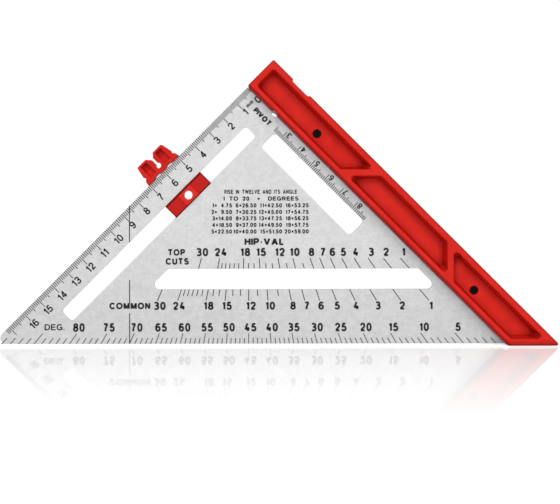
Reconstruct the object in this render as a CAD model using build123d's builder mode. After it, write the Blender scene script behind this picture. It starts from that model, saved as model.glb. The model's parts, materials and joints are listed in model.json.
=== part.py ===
from build123d import *
import os
from math import sqrt

# Speed square, standing on its long edge. Millimetres, +X right, +Z up, front towards -Y.
# The corner of the scales is the zero of both legs. The scale leg runs down to the left
# from it and the fence runs down to the right. The origin is under the middle of the
# square, on the surface that it stands on.

# blade
leg_length = 182.2  # from the corner to the sharp end of the scale leg
blade_thickness = 2.0
tip_radius = 3.2  # rounding of the blade's far tip
edge_break = 0.12  # chamfer on all edges of the blade's two faces
slot_corner = 2.0  # rounding of the two straight slots
leg_slot_setback = 13.05  # from the scale edge to the slot that the gauge runs in
leg_slot_width = 7.55
leg_slot_start = 14.5  # along the scale leg
leg_slot_end = 145.75
rule_slot_setback = 6.65  # slot with the short scale beside the fence
rule_slot_width = 10.2
rule_slot_start = 25.8  # along the fence
rule_slot_end = 88.8
long_slot_height = 27.4  # lower edge above the base
long_slot_width = 10.2
long_slot_leg_gap = 36.2  # from the scale edge to its left end
long_slot_fence_gap = 4.1  # from the scale's zero to its right end
long_slot_corner = 2.4
pivot_station = 19.2  # pivot hole, along the fence
pivot_inset = 0.3  # its centre behind the scale's zero
pivot_diameter = 3.4

# fence, two mouldings clamped on the blade's tang
fence_width = 18.4
fence_thickness = 22.0  # both mouldings together
fence_lap = 0.4  # guiding face in front of the scale's zero
fence_inset = 0.3  # top end below the scale edge
tang_depth = 13.0  # blade behind the scale's zero
tang_gap = 0.3  # between the tang's edge and the mouldings' step
outer_rim = 3.15
inner_rim = 3.3
top_rim = 3.2
foot_rim = 3.3
rib_width = 3.1
level_rib_height = 85.5  # centre of the level rib above the base
upright_rib_offset = 100.0  # centre of the upright rib, to the right of the corner
pocket_floor = 4.0  # from the blade's middle plane to a pocket's floor
pocket_corner = 1.5
pocket_draft = 11.0  # degrees
pocket_edge_radius = 0.6
pocket_floor_radius = 1.4
fence_edge_radius = 0.8
inner_corner_radius = 1.2  # rounded corners at the ends of the guiding face
outer_corner_radius = 0.9
grip_start = 13.9  # shallow grip on the outer face
grip_end = 26.1
grip_depth = 1.0
grip_start_slope = 0.8
grip_end_slope = 1.4
relief_radius = 2.8  # groove across the guiding face at the pivot hole
relief_depth = 1.0

# screws through the fence
screw_setback = 7.6  # behind the scale's zero
first_screw = 41.2  # along the fence
second_screw = 151.7
shank_diameter = 2.5
shank_length = 5.2
head_diameter = 3.9
head_height = 1.2
seat_height = 2.2  # from the blade's middle plane to the screw's seat
head_clearance = 0.2
shank_clearance = 0.1
drive_width = 0.6
drive_length = 2.6
drive_depth = 0.7
boss_wall = 1.6  # round the screw, through the tang
boss_clearance = 0.2
boss_gap = 0.1  # from the boss to the front moulding
pilot_spare = 0.2  # pilot hole past the screw's end

# sliding gauge
gauge_station = 59.45  # its middle along the scale leg
gauge_clearance = 0.05
face_clearance = 0.1  # to the blade's two faces
block_length = 24.6
block_proud = 0.6  # end faces of the block in front of the blade
lip_overlap = 0.5  # snap lip over the slot's far edge
block_groove = 0.5  # width of the groove beside the slot's near edge
block_groove_floor = 0.1  # from the blade's middle plane to the groove's floor
block_edge_radius = 0.35
crown_length = 8.6  # raised middle of the block, between the middles of its slopes
crown_proud = 1.4
crown_slope = 1.0  # length of each slope
pencil_hole_diameter = 4.3
pencil_hole_offset = 0.4  # from the middle of the slot, away from the scale edge
bridge_thickness = 2.3
bridge_margin = 1.0  # bridge past the slot's far edge
base_length = 21.2  # head of the gauge, on the scale edge
head_reach = 10.3
head_front = 3.5  # from the blade's middle plane to the head's front face
waist_length = 18.0
waist_height = 3.4
shoulder_length = 20.4
shoulder_height = 2.3
lug_foot_length = 19.2
lug_foot_height = 4.6
lug_top_length = 17.0
lug_corner = 0.5
slit_width = 1.4
slit_mouth_width = 5.2
slit_mouth_depth = 2.1
keyhole_diameter = 2.8
keyhole_height = 3.75
pad_length = 2.8  # middle pad under the head
arch_length = 5.0
arch_height = 0.75
lug_pocket_offset = 5.0  # from the middle of the head
lug_pocket_width = 3.7
lug_pocket_length = 6.7
lug_pocket_start = 2.35  # above the scale edge
deep_pocket = 4.0
shallow_pocket = 2.2
gauge_edge_radius = 0.4

# places that follow from the sizes
root_two = sqrt(2)
half_blade = blade_thickness / 2
half_fence = fence_thickness / 2
fence_back = fence_width - fence_lap
leftmost = -leg_length / root_two + tip_radius * root_two
rightmost = (leg_length + 2 * fence_back) / root_two - outer_corner_radius * root_two
corner = Vector(-(leftmost + rightmost) / 2, 0, leg_length / root_two)
square = Plane(origin=corner, x_dir=(-1, 0, -1), z_dir=(0, -1, 0))  # x: scale leg, y: fence
screw_places = [(-screw_setback, first_screw), (-screw_setback, second_screw)]
shank_radius = shank_diameter / 2
boss_radius = shank_radius + boss_wall
tang_hole_radius = boss_radius + boss_clearance


def level_line(height):
    """Sum of the two leg coordinates at this height above the base."""
    return leg_length - height * root_two


def rectangle_between(x_start, x_end, y_start, y_end):
    """Rectangle between two places along each axis of the open sketch."""
    with Locations(((x_start + x_end) / 2, (y_start + y_end) / 2)):
        return Rectangle(x_end - x_start, y_end - y_start)


def foot_point(x):
    """Point on the base line at this distance along the scale leg's axis."""
    return (x, leg_length - x)


# blade: a right-angled plate with a tang inside the fence
with BuildPart() as blade:
    with BuildSketch(square):
        with BuildLine():
            Polyline(
                (-tang_depth, fence_inset),
                (fence_lap, fence_inset),
                (fence_lap, 0),
                (leg_length, 0),
                foot_point(-tang_depth),
                close=True,
            )
        make_face()
    extrude(amount=half_blade, both=True)
    tip = blade.edges().filter_by(Axis.Y).sort_by(Axis.X)[0]
    fillet(tip, radius=tip_radius)
    with BuildSketch(square):
        leg_slot = rectangle_between(
            leg_slot_start, leg_slot_end, leg_slot_setback, leg_slot_setback + leg_slot_width
        )
        rule_slot = rectangle_between(
            rule_slot_setback, rule_slot_setback + rule_slot_width, rule_slot_start, rule_slot_end
        )
        fillet(leg_slot.vertices() + rule_slot.vertices(), radius=slot_corner)
    extrude(amount=half_blade, both=True, mode=Mode.SUBTRACT)
    long_slot_foot = level_line(long_slot_height)
    long_slot_top = level_line(long_slot_height + long_slot_width)
    with BuildSketch(square) as long_slot:
        with BuildLine():
            Polyline(
                (long_slot_fence_gap, long_slot_top - long_slot_fence_gap),
                (long_slot_top - long_slot_leg_gap, long_slot_leg_gap),
                (long_slot_foot - long_slot_leg_gap, long_slot_leg_gap),
                (long_slot_fence_gap, long_slot_foot - long_slot_fence_gap),
                close=True,
            )
        make_face()
        fillet(long_slot.vertices(), radius=long_slot_corner)
    extrude(amount=half_blade, both=True, mode=Mode.SUBTRACT)
    with BuildSketch(square):
        with Locations((-pivot_inset, pivot_station)):
            Circle(pivot_diameter / 2)
        with Locations(*screw_places):
            Circle(tang_hole_radius)
    extrude(amount=half_blade, both=True, mode=Mode.SUBTRACT)
    blade_faces = blade.faces().filter_by(Axis.Y).sort_by(Axis.Y)
    chamfer((blade_faces[0] + blade_faces[-1]).edges(), length=edge_break)
blade.part.label = "blade"

# space of the pockets in one face of the fence
with BuildPart() as pocket_space:
    with BuildSketch(square.offset(half_fence)) as pockets:
        with BuildLine():
            pocket_back = -fence_back + outer_rim
            pocket_front = fence_lap - inner_rim
            pocket_foot = level_line(foot_rim)
            Polyline(
                (pocket_back, fence_inset + top_rim),
                (pocket_front, fence_inset + top_rim),
                (pocket_front, pocket_foot - pocket_front),
                (pocket_back, pocket_foot - pocket_back),
                close=True,
            )
        make_face()
        pocket_middle = (pocket_back + pocket_front) / 2
        level_rib_middle = level_line(level_rib_height) - pocket_middle
        upright_rib_middle = upright_rib_offset * root_two + pocket_middle
        with Locations(Location((pocket_middle, level_rib_middle, 0), (0, 0, -45))):
            Rectangle(4 * fence_width, rib_width, mode=Mode.SUBTRACT)
        with Locations(Location((pocket_middle, upright_rib_middle, 0), (0, 0, 45))):
            Rectangle(4 * fence_width, rib_width, mode=Mode.SUBTRACT)
    extrude(amount=pocket_floor - half_fence, taper=pocket_draft)
    slanted_edges = pocket_space.edges().filter_by(
        lambda edge: abs(edge.tangent_at(0).Y) > abs(edge.tangent_at(0).X)
        and abs(edge.tangent_at(0).Y) > abs(edge.tangent_at(0).Z)
    )
    fillet(slanted_edges, radius=pocket_corner)
    pocket_floors = pocket_space.faces().filter_by(Axis.Y).sort_by(Axis.Y)[-3:]
    fillet(pocket_floors.edges(), radius=pocket_floor_radius)

# shell that both fence mouldings share, on the front of the blade's middle plane
with BuildPart() as fence_shell:
    with BuildSketch(square) as fence_outline:
        with BuildLine():
            Polyline(
                (-fence_back, fence_inset),
                (fence_lap, fence_inset),
                foot_point(fence_lap),
                foot_point(-fence_back),
                close=True,
            )
        make_face()
        inner_corners = fence_outline.vertices().sort_by(Axis.X)[2:]
        fillet(inner_corners, radius=inner_corner_radius)
        outer_corners = fence_outline.vertices().sort_by(Axis.X)[:2]
        fillet(outer_corners, radius=outer_corner_radius)
        with BuildLine():
            Polyline(
                (-fence_back, grip_start),
                (-fence_back + grip_depth, grip_start + grip_start_slope),
                (-fence_back + grip_depth, grip_end - grip_end_slope),
                (-fence_back, grip_end),
                close=True,
            )
        make_face(mode=Mode.SUBTRACT)
        with Locations((fence_lap - relief_depth + relief_radius, pivot_station)):
            Circle(relief_radius, mode=Mode.SUBTRACT)
    extrude(amount=half_fence)
    front_edges = fence_shell.faces().sort_by(Axis.Y)[0].edges()
    fillet(front_edges, radius=fence_edge_radius)
    add(pocket_space.part, mode=Mode.SUBTRACT)
    rim_face = fence_shell.faces().sort_by(Axis.Y)[0]
    fillet(rim_face.inner_wires().edges(), radius=pocket_edge_radius)
    with BuildSketch(square):
        rectangle_between(
            -tang_depth - tang_gap, 2 * fence_lap, 0, 2 * leg_length
        )
    extrude(amount=half_blade, mode=Mode.SUBTRACT)

# front moulding, with the two sunk screw holes
with BuildPart() as fence_front:
    add(fence_shell.part)
    with BuildSketch(square.offset(seat_height)):
        with Locations(*screw_places):
            Circle(head_diameter / 2 + head_clearance)
    extrude(amount=pocket_floor - seat_height, mode=Mode.SUBTRACT)
    with BuildSketch(square):
        with Locations(*screw_places):
            Circle(shank_radius + shank_clearance)
    extrude(amount=seat_height, mode=Mode.SUBTRACT)
fence_front.part.label = "fence_front"

# rear moulding, with the bosses that pass through the tang and take the screws
with BuildPart() as fence_rear:
    mirror(fence_shell.part, about=Plane.XZ)
    boss_end = half_blade - boss_gap
    with BuildSketch(square.offset(-half_blade)):
        with Locations(*screw_places):
            Circle(boss_radius)
    extrude(amount=half_blade + boss_end)
    pilot_end = shank_length - seat_height + pilot_spare
    with BuildSketch(square.offset(-pilot_end)):
        with Locations(*screw_places):
            Circle(shank_radius)
    extrude(amount=pilot_end + boss_end, mode=Mode.SUBTRACT)
fence_rear.part.label = "fence_rear"

# two screws, one node
with BuildPart() as fence_screws:
    with BuildSketch(square.offset(seat_height)):
        with Locations(*screw_places):
            Circle(head_diameter / 2)
    extrude(amount=head_height)
    with BuildSketch(square.offset(seat_height)):
        with Locations(*screw_places):
            Circle(shank_radius)
    extrude(amount=-shank_length)
    shank_ends = fence_screws.faces().sort_by(Axis.Y)[-2:]
    chamfer(shank_ends.edges(), length=shank_radius / 2)
    with BuildSketch(square.offset(seat_height + head_height)):
        with Locations(*screw_places):
            Rectangle(drive_width, drive_length)
            Rectangle(drive_length, drive_width)
    extrude(amount=-drive_depth, mode=Mode.SUBTRACT)
fence_screws.part.label = "fence_screws"

# sliding gauge: a head on the scale edge, a bridge behind the leg and a block in the slot
gauge = Plane(
    origin=square.from_local_coords((gauge_station, 0, 0)), x_dir=square.x_dir, z_dir=square.z_dir
)
bridge_front = half_blade + face_clearance  # behind the blade's middle plane
gauge_back = bridge_front + bridge_thickness
slot_near = leg_slot_setback + gauge_clearance
slot_far = leg_slot_setback + leg_slot_width - gauge_clearance
slot_middle = leg_slot_setback + leg_slot_width / 2


# the two shallow arches under the head
with BuildSketch() as arches:
    for side in (-1, 1):
        near = side * pad_length / 2
        far = side * (pad_length / 2 + arch_length)
        with BuildLine():
            Line((near, 0), (far, 0))
            ThreePointArc((near, 0), ((near + far) / 2, -arch_height), (far, 0))
        make_face()

# cap of the block: its snap lip reaches over the slot's far edge, and its middle is raised
cap_near = slot_near + block_groove
cap_far = leg_slot_setback + leg_slot_width + lip_overlap
lip_back = half_blade + face_clearance
block_front = half_blade + block_proud
crown_front = half_blade + crown_proud
cap_side = Plane(
    origin=gauge.from_local_coords((0, cap_far, 0)), x_dir=gauge.x_dir, z_dir=-gauge.y_dir
)
slope_foot = (crown_length + crown_slope) / 2
slope_top = (crown_length - crown_slope) / 2
with BuildPart() as block_cap:
    with BuildSketch(cap_side):
        with BuildLine():
            Polyline(
                (-block_length / 2, lip_back),
                (-block_length / 2, block_front),
                (-slope_foot, block_front),
                (-slope_top, crown_front),
                (slope_top, crown_front),
                (slope_foot, block_front),
                (block_length / 2, block_front),
                (block_length / 2, lip_back),
                close=True,
            )
        make_face()
    extrude(amount=cap_far - cap_near)
    cap_sides = block_cap.faces().filter_by(lambda face: abs(face.normal_at().dot(cap_side.z_dir)) > 0.99)
    cap_edges = cap_sides.edges().filter_by(
        lambda edge: abs(edge.center().Y + lip_back) > 0.01 and edge.length > 0.55
    )
    fillet(cap_edges, radius=block_edge_radius)

with BuildPart() as slider:
    with BuildSketch(gauge.offset(-gauge_back)) as head:
        right_side = [
            (base_length / 2, -gauge_clearance),
            (shoulder_length / 2, -shoulder_height),
            (waist_length / 2, -waist_height),
            (lug_foot_length / 2, -lug_foot_height),
            (lug_top_length / 2, lug_corner - head_reach),
            (lug_top_length / 2 - lug_corner, -head_reach),
        ]
        left_side = [(-x, y) for x, y in reversed(right_side)]
        with BuildLine():
            Polyline(*right_side, *left_side, close=True)
        make_face()
        with Locations((0, -keyhole_height)):
            Circle(keyhole_diameter / 2, mode=Mode.SUBTRACT)
        with Locations((0, -(keyhole_height + head_reach) / 2)):
            Rectangle(slit_width, head_reach - keyhole_height, mode=Mode.SUBTRACT)
        with BuildLine():
            Polyline(
                (-slit_mouth_width / 2, -head_reach),
                (slit_mouth_width / 2, -head_reach),
                (slit_width / 2, slit_mouth_depth - head_reach),
                (-slit_width / 2, slit_mouth_depth - head_reach),
                close=True,
            )
        make_face(mode=Mode.SUBTRACT)
        add(arches.sketch, mode=Mode.SUBTRACT)
    extrude(amount=gauge_back + head_front)
    pocket_split = lug_pocket_start + lug_pocket_length / 2
    with BuildSketch(gauge.offset(head_front)):
        for side in (-1, 1):
            with Locations((side * lug_pocket_offset, -pocket_split)):
                Rectangle(lug_pocket_width, lug_pocket_length)
    extrude(amount=-shallow_pocket, mode=Mode.SUBTRACT)
    with BuildSketch(gauge.offset(head_front)):
        for side in (-1, 1):
            with Locations((side * lug_pocket_offset, -pocket_split - lug_pocket_length / 4)):
                Rectangle(lug_pocket_width, lug_pocket_length / 2)
    extrude(amount=-deep_pocket, mode=Mode.SUBTRACT)
    head_face = slider.faces().sort_by(Axis.Y)[0]
    fillet(head_face.outer_wire().edges(), radius=gauge_edge_radius)

    # bridge behind the leg, joined to the head at its three pads
    with BuildSketch(gauge.offset(-gauge_back)):
        rectangle_between(-base_length / 2, base_length / 2, -shoulder_height / 2, slot_middle)
        rectangle_between(
            -block_length / 2, block_length / 2, leg_slot_setback - bridge_margin,
            leg_slot_setback + leg_slot_width + bridge_margin,
        )
        add(arches.sketch, mode=Mode.SUBTRACT)
    extrude(amount=bridge_thickness)

    # block in the slot, with its cap and the pencil hole
    with BuildSketch(gauge.offset(-bridge_front)):
        rectangle_between(-block_length / 2, block_length / 2, slot_near, slot_far)
    extrude(amount=bridge_front + block_groove_floor)
    with BuildSketch(gauge.offset(block_groove_floor)):
        rectangle_between(
            -block_length / 2, block_length / 2, slot_near + block_groove, slot_far
        )
    extrude(amount=lip_back - block_groove_floor)
    add(block_cap.part)
    with BuildSketch(gauge.offset(-gauge_back)):
        with Locations((0, slot_middle + pencil_hole_offset)):
            Circle(pencil_hole_diameter / 2)
    extrude(amount=gauge_back + half_blade + crown_proud, mode=Mode.SUBTRACT)
slider.part.label = "slider"

os.makedirs("parts", exist_ok=True)
export_step(blade.part, "parts/blade.step")
export_step(fence_front.part, "parts/fence_front.step")
export_step(fence_rear.part, "parts/fence_rear.step")
export_step(fence_screws.part, "parts/fence_screws.step")
export_step(slider.part, "parts/slider.step")
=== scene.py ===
import json
import math

import bpy
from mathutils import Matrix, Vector


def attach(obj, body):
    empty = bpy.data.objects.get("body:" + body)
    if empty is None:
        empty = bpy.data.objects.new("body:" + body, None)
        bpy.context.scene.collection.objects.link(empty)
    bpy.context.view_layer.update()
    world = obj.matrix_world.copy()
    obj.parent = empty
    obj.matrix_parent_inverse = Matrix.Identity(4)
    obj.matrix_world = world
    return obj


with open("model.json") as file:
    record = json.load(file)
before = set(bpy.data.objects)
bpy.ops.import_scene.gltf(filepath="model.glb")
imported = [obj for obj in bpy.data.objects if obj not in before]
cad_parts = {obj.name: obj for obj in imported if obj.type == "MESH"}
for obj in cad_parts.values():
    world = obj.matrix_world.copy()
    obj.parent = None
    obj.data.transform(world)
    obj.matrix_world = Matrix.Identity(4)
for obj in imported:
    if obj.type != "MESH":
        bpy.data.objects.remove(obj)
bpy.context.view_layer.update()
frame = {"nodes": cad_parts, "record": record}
nodes = frame["nodes"]
mounts = {mount["name"]: mount for mount in frame["record"]["mounts"]}
mm = 0.001
print("square loaded:", ", ".join(sorted(nodes)))

# The square's own directions: the scale leg runs down to the left, the fence down to the right.
legWay = Vector((-1, 0, -1)).normalized()
fenceWay = Vector((1, 0, -1)).normalized()
layout = {
    "faceLap": 0.4,          # the fence_face mount lies this far along the leg, in mm
    "faceStation": 100.0,    # and this far along the fence
    "legSlotNear": 13.05,    # slot beside the scale leg, from the scale edge
    "ruleSlotNear": 6.65,    # slot beside the fence, from the scale's zero
    "longSlotFoot": 27.4,    # level slot, above the base
    "longSlotTop": 37.6,
}
facePoint = Vector(mounts["fence_face"]["pos_m"])
facePoint.y = 0
corner = facePoint - (legWay * layout["faceLap"] + fenceWay * layout["faceStation"]) * mm
cornerHeight = corner.z / mm


def onLegs(along, across):
    # place in the blade's plane from its distances along the scale leg and along the fence, in mm
    return corner + (legWay * along + fenceWay * across) * mm


def onBase(right, height):
    # place in the blade's plane, to the right of the corner and above the base, in mm
    return Vector((corner.x + right * mm, 0, height * mm))


# camera
cameraValues = {
    "distance": 0.56,
    "scale": 1.9914,         # a larger value brings the square closer
    "scaleDistance": 0.56,   # the lens follows the camera's distance, so the square keeps its size
    "sensor": 36.0,
    "right": 10.1,           # from the corner, in mm
    "below": 55.65,
    "shiftRight": 0.0213,
    "shiftUp": -0.0968,
    "roll": 0.11,            # degrees
}


def addCamera(values):
    data = bpy.data.cameras.new("camera")
    data.sensor_width = values["sensor"]
    data.lens = values["sensor"] * values["distance"] * values["scale"] / values["scaleDistance"]
    data.shift_x = values["shiftRight"]
    data.shift_y = values["shiftUp"]
    data.clip_start = 0.01
    data.clip_end = 60
    camera = bpy.data.objects.new("camera", data)
    camera.location = (
        corner.x + values["right"] * mm, -values["distance"], corner.z - values["below"] * mm
    )
    camera.rotation_euler = (math.radians(90), math.radians(values["roll"]), 0)
    bpy.context.scene.collection.objects.link(camera)
    bpy.context.scene.camera = camera


addCamera(cameraValues)
bpy.context.scene.view_settings.view_transform = "Standard"
print("camera placed")

# studio light
lightValues = {
    "ambient": 0.22,
    "backdrop": 1.0,
    "suns": {
        "key": {"strength": 2.0, "size": 60, "elevation": 22, "azimuth": 4},
        "overhead": {"strength": 0.7, "size": 60, "elevation": 84, "azimuth": 0},
    },
}


def addNode(tree, kind, **settings):
    node = tree.nodes.new(kind)
    for name, value in settings.items():
        if name in node.inputs:
            node.inputs[name].default_value = value
        else:
            setattr(node, name, value)
    return node


def addSun(name, strength, size, elevation, azimuth):
    # azimuth 0 shines from the front, a positive one from the right; gloss sees the backdrop alone
    data = bpy.data.lights.new(name, "SUN")
    data.energy = strength
    data.angle = math.radians(size)
    up = math.radians(elevation)
    side = math.radians(azimuth)
    towards = Vector((math.sin(side) * math.cos(up), -math.cos(side) * math.cos(up), math.sin(up)))
    sun = bpy.data.objects.new(name, data)
    sun.rotation_euler = towards.to_track_quat("Z", "Y").to_euler()
    sun.visible_glossy = False
    bpy.context.scene.collection.objects.link(sun)


def addWorld(values):
    # plain ambient light, with a white backdrop for what the camera, gloss and glass see
    world = bpy.data.worlds.new("studio")
    bpy.context.scene.world = world
    world.use_nodes = True
    tree = world.node_tree
    path = addNode(tree, "ShaderNodeLightPath")
    seen = addNode(tree, "ShaderNodeMath", operation="MAXIMUM")
    anySeen = addNode(tree, "ShaderNodeMath", operation="MAXIMUM")
    level = addNode(tree, "ShaderNodeMapRange")
    level.inputs["To Min"].default_value = values["ambient"]
    level.inputs["To Max"].default_value = values["backdrop"]
    tree.links.new(path.outputs["Is Camera Ray"], seen.inputs[0])
    tree.links.new(path.outputs["Is Glossy Ray"], seen.inputs[1])
    tree.links.new(seen.outputs[0], anySeen.inputs[0])
    tree.links.new(path.outputs["Is Transmission Ray"], anySeen.inputs[1])
    tree.links.new(anySeen.outputs[0], level.inputs["Value"])
    backdrop = tree.nodes["Background"]
    backdrop.inputs["Color"].default_value = (1, 1, 1, 1)
    tree.links.new(level.outputs["Result"], backdrop.inputs["Strength"])


for sunName, sunValues in lightValues["suns"].items():
    addSun(sunName, **sunValues)
addWorld(lightValues)
print("studio lit")


# shared effects

def newGroup(name, inputs, outputs):
    group = bpy.data.node_groups.new(name, "ShaderNodeTree")
    for socketName, kind, value in inputs:
        socket = group.interface.new_socket(socketName, in_out="INPUT", socket_type=kind)
        socket.default_value = value
    for socketName, kind in outputs:
        group.interface.new_socket(socketName, in_out="OUTPUT", socket_type=kind)
    start = group.nodes.new("NodeGroupInput")
    end = group.nodes.new("NodeGroupOutput")
    return group, start, end


def makeMottle():
    # soft patches and fine grain, each as a value round 0.5
    group, start, end = newGroup(
        "mottle",
        [("Patch Size", "NodeSocketFloat", 2.0), ("Grain Size", "NodeSocketFloat", 0.3)],
        [("Patches", "NodeSocketFloat"), ("Grain", "NodeSocketFloat")],
    )
    place = addNode(group, "ShaderNodeTexCoord")
    for size, output, detail in (("Patch Size", "Patches", 3.0), ("Grain Size", "Grain", 1.0)):
        scale = addNode(group, "ShaderNodeMath", operation="DIVIDE")
        scale.inputs[0].default_value = 1 / mm
        noise = addNode(group, "ShaderNodeTexNoise", Detail=detail, Roughness=0.6)
        group.links.new(start.outputs[size], scale.inputs[1])
        group.links.new(place.outputs["Object"], noise.inputs["Vector"])
        group.links.new(scale.outputs[0], noise.inputs["Scale"])
        group.links.new(noise.outputs["Fac"], end.inputs[output])
    return group


def makeEdgeMask():
    # 1 on rounded and sharp edges, 0 on open faces, and the normal that rounds them
    group, start, end = newGroup(
        "edgeMask",
        [("Radius", "NodeSocketFloat", 0.0003), ("Strength", "NodeSocketFloat", 4.0)],
        [("Edge", "NodeSocketFloat"), ("Normal", "NodeSocketVector")],
    )
    rounded = addNode(group, "ShaderNodeBevel", samples=6)
    geometry = addNode(group, "ShaderNodeNewGeometry")
    dot = addNode(group, "ShaderNodeVectorMath", operation="DOT_PRODUCT")
    lost = addNode(group, "ShaderNodeMath", operation="SUBTRACT")
    lost.inputs[0].default_value = 1.0
    gain = addNode(group, "ShaderNodeMath", operation="MULTIPLY", use_clamp=True)
    group.links.new(start.outputs["Radius"], rounded.inputs["Radius"])
    group.links.new(rounded.outputs["Normal"], dot.inputs[0])
    group.links.new(geometry.outputs["Normal"], dot.inputs[1])
    group.links.new(dot.outputs["Value"], lost.inputs[1])
    group.links.new(lost.outputs[0], gain.inputs[0])
    group.links.new(start.outputs["Strength"], gain.inputs[1])
    group.links.new(gain.outputs[0], end.inputs["Edge"])
    group.links.new(rounded.outputs["Normal"], end.inputs["Normal"])
    return group


handlingValues = {
    "lines": ((25.0, 40.0), (-50.0, 55.0), (80.0, 48.0)),    # turn in degrees, and how narrow
    "faintest": 0.70,        # the noise below this leaves no scratch
    "fullest": 0.78,
    "smudgeScale": 60.0,
}


def makeHandling(values):
    # fine scratches in all directions, and the dull patches that hands leave
    group, start, end = newGroup(
        "handling",
        [("Scratch Length", "NodeSocketFloat", 9.0), ("Amount", "NodeSocketFloat", 1.0)],
        [("Scratches", "NodeSocketFloat"), ("Smudges", "NodeSocketFloat")],
    )
    place = addNode(group, "ShaderNodeTexCoord")
    scale = addNode(group, "ShaderNodeMath", operation="DIVIDE")
    scale.inputs[0].default_value = 1 / mm
    group.links.new(start.outputs["Scratch Length"], scale.inputs[1])
    smudges = addNode(group, "ShaderNodeTexNoise", Scale=values["smudgeScale"], Detail=2.0)
    group.links.new(place.outputs["Object"], smudges.inputs["Vector"])
    previous = None
    for turn, stretch in values["lines"]:
        squeeze = addNode(group, "ShaderNodeMapping")
        squeeze.inputs["Rotation"].default_value = (0, math.radians(turn), 0)
        squeeze.inputs["Scale"].default_value = (1.0, 1.0, stretch)
        line = addNode(group, "ShaderNodeTexNoise", Detail=0.0, Distortion=0.2)
        thin = addNode(group, "ShaderNodeMapRange")
        thin.inputs["From Min"].default_value = values["faintest"]
        thin.inputs["From Max"].default_value = values["fullest"]
        group.links.new(place.outputs["Object"], squeeze.inputs["Vector"])
        group.links.new(squeeze.outputs[0], line.inputs["Vector"])
        group.links.new(scale.outputs[0], line.inputs["Scale"])
        group.links.new(line.outputs["Fac"], thin.inputs["Value"])
        if previous is None:
            previous = thin.outputs["Result"]
        else:
            join = addNode(group, "ShaderNodeMath", operation="MAXIMUM")
            group.links.new(previous, join.inputs[0])
            group.links.new(thin.outputs["Result"], join.inputs[1])
            previous = join.outputs[0]
    amount = addNode(group, "ShaderNodeMath", operation="MULTIPLY", use_clamp=True)
    group.links.new(previous, amount.inputs[0])
    group.links.new(start.outputs["Amount"], amount.inputs[1])
    group.links.new(amount.outputs[0], end.inputs["Scratches"])
    group.links.new(smudges.outputs["Fac"], end.inputs["Smudges"])
    return group


def makeCornerMask():
    # 1 deep in a corner between faces, 0 on open faces
    group, start, end = newGroup(
        "cornerMask",
        [("Reach", "NodeSocketFloat", 0.003), ("Strength", "NodeSocketFloat", 1.0)],
        [("Corner", "NodeSocketFloat")],
    )
    near = addNode(group, "ShaderNodeAmbientOcclusion", samples=6)
    shut = addNode(group, "ShaderNodeMath", operation="SUBTRACT")
    shut.inputs[0].default_value = 1.0
    gain = addNode(group, "ShaderNodeMath", operation="MULTIPLY", use_clamp=True)
    group.links.new(start.outputs["Reach"], near.inputs["Distance"])
    group.links.new(near.outputs["AO"], shut.inputs[1])
    group.links.new(shut.outputs[0], gain.inputs[0])
    group.links.new(start.outputs["Strength"], gain.inputs[1])
    group.links.new(gain.outputs[0], end.inputs["Corner"])
    return group


def makeBand():
    # 1 between two distances from a centre, counted along a direction, with soft sides
    group, start, end = newGroup(
        "band",
        [
            ("Centre", "NodeSocketVector", (0.0, 0.0, 0.0)),
            ("Direction", "NodeSocketVector", (1.0, 0.0, 0.0)),
            ("Low", "NodeSocketFloat", 0.0),
            ("High", "NodeSocketFloat", 0.01),
            ("Soft", "NodeSocketFloat", 0.001),
        ],
        [("Band", "NodeSocketFloat")],
    )
    place = addNode(group, "ShaderNodeTexCoord")
    offset = addNode(group, "ShaderNodeVectorMath", operation="SUBTRACT")
    distance = addNode(group, "ShaderNodeVectorMath", operation="DOT_PRODUCT")
    group.links.new(place.outputs["Object"], offset.inputs[0])
    group.links.new(start.outputs["Centre"], offset.inputs[1])
    group.links.new(offset.outputs[0], distance.inputs[0])
    group.links.new(start.outputs["Direction"], distance.inputs[1])
    sides = []
    for limit, first in (("Low", False), ("High", True)):
        past = addNode(group, "ShaderNodeMath", operation="SUBTRACT")
        group.links.new(distance.outputs["Value"], past.inputs[1 if first else 0])
        group.links.new(start.outputs[limit], past.inputs[0 if first else 1])
        ramp = addNode(group, "ShaderNodeMath", operation="DIVIDE", use_clamp=True)
        group.links.new(past.outputs[0], ramp.inputs[0])
        group.links.new(start.outputs["Soft"], ramp.inputs[1])
        sides.append(ramp.outputs[0])
    both = addNode(group, "ShaderNodeMath", operation="MULTIPLY")
    group.links.new(sides[0], both.inputs[0])
    group.links.new(sides[1], both.inputs[1])
    group.links.new(both.outputs[0], end.inputs["Band"])
    return group


mottle = makeMottle()
band = makeBand()
edgeMask = makeEdgeMask()
cornerMask = makeCornerMask()
handling = makeHandling(handlingValues)
patchRange = (0.35, 0.65)    # the noise of patches and smudges is drawn out between these


def useGroup(tree, group, **values):
    node = tree.nodes.new("ShaderNodeGroup")
    node.node_tree = group
    for name, value in values.items():
        node.inputs[name].default_value = value
    return node


def span(tree, source, low, high, fromLow=0.3, fromHigh=0.7):
    # a value that runs from low to high over the surface
    node = addNode(tree, "ShaderNodeMapRange")
    node.inputs["From Min"].default_value = fromLow
    node.inputs["From Max"].default_value = fromHigh
    node.inputs["To Min"].default_value = low
    node.inputs["To Max"].default_value = high
    tree.links.new(source, node.inputs["Value"])
    return node.outputs["Result"]


def multiply(tree, first, second):
    # the second factor is a socket or a plain number
    node = addNode(tree, "ShaderNodeMath", operation="MULTIPLY")
    tree.links.new(first, node.inputs[0])
    if isinstance(second, float):
        node.inputs[1].default_value = second
    else:
        tree.links.new(second, node.inputs[1])
    return node.outputs[0]


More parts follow.
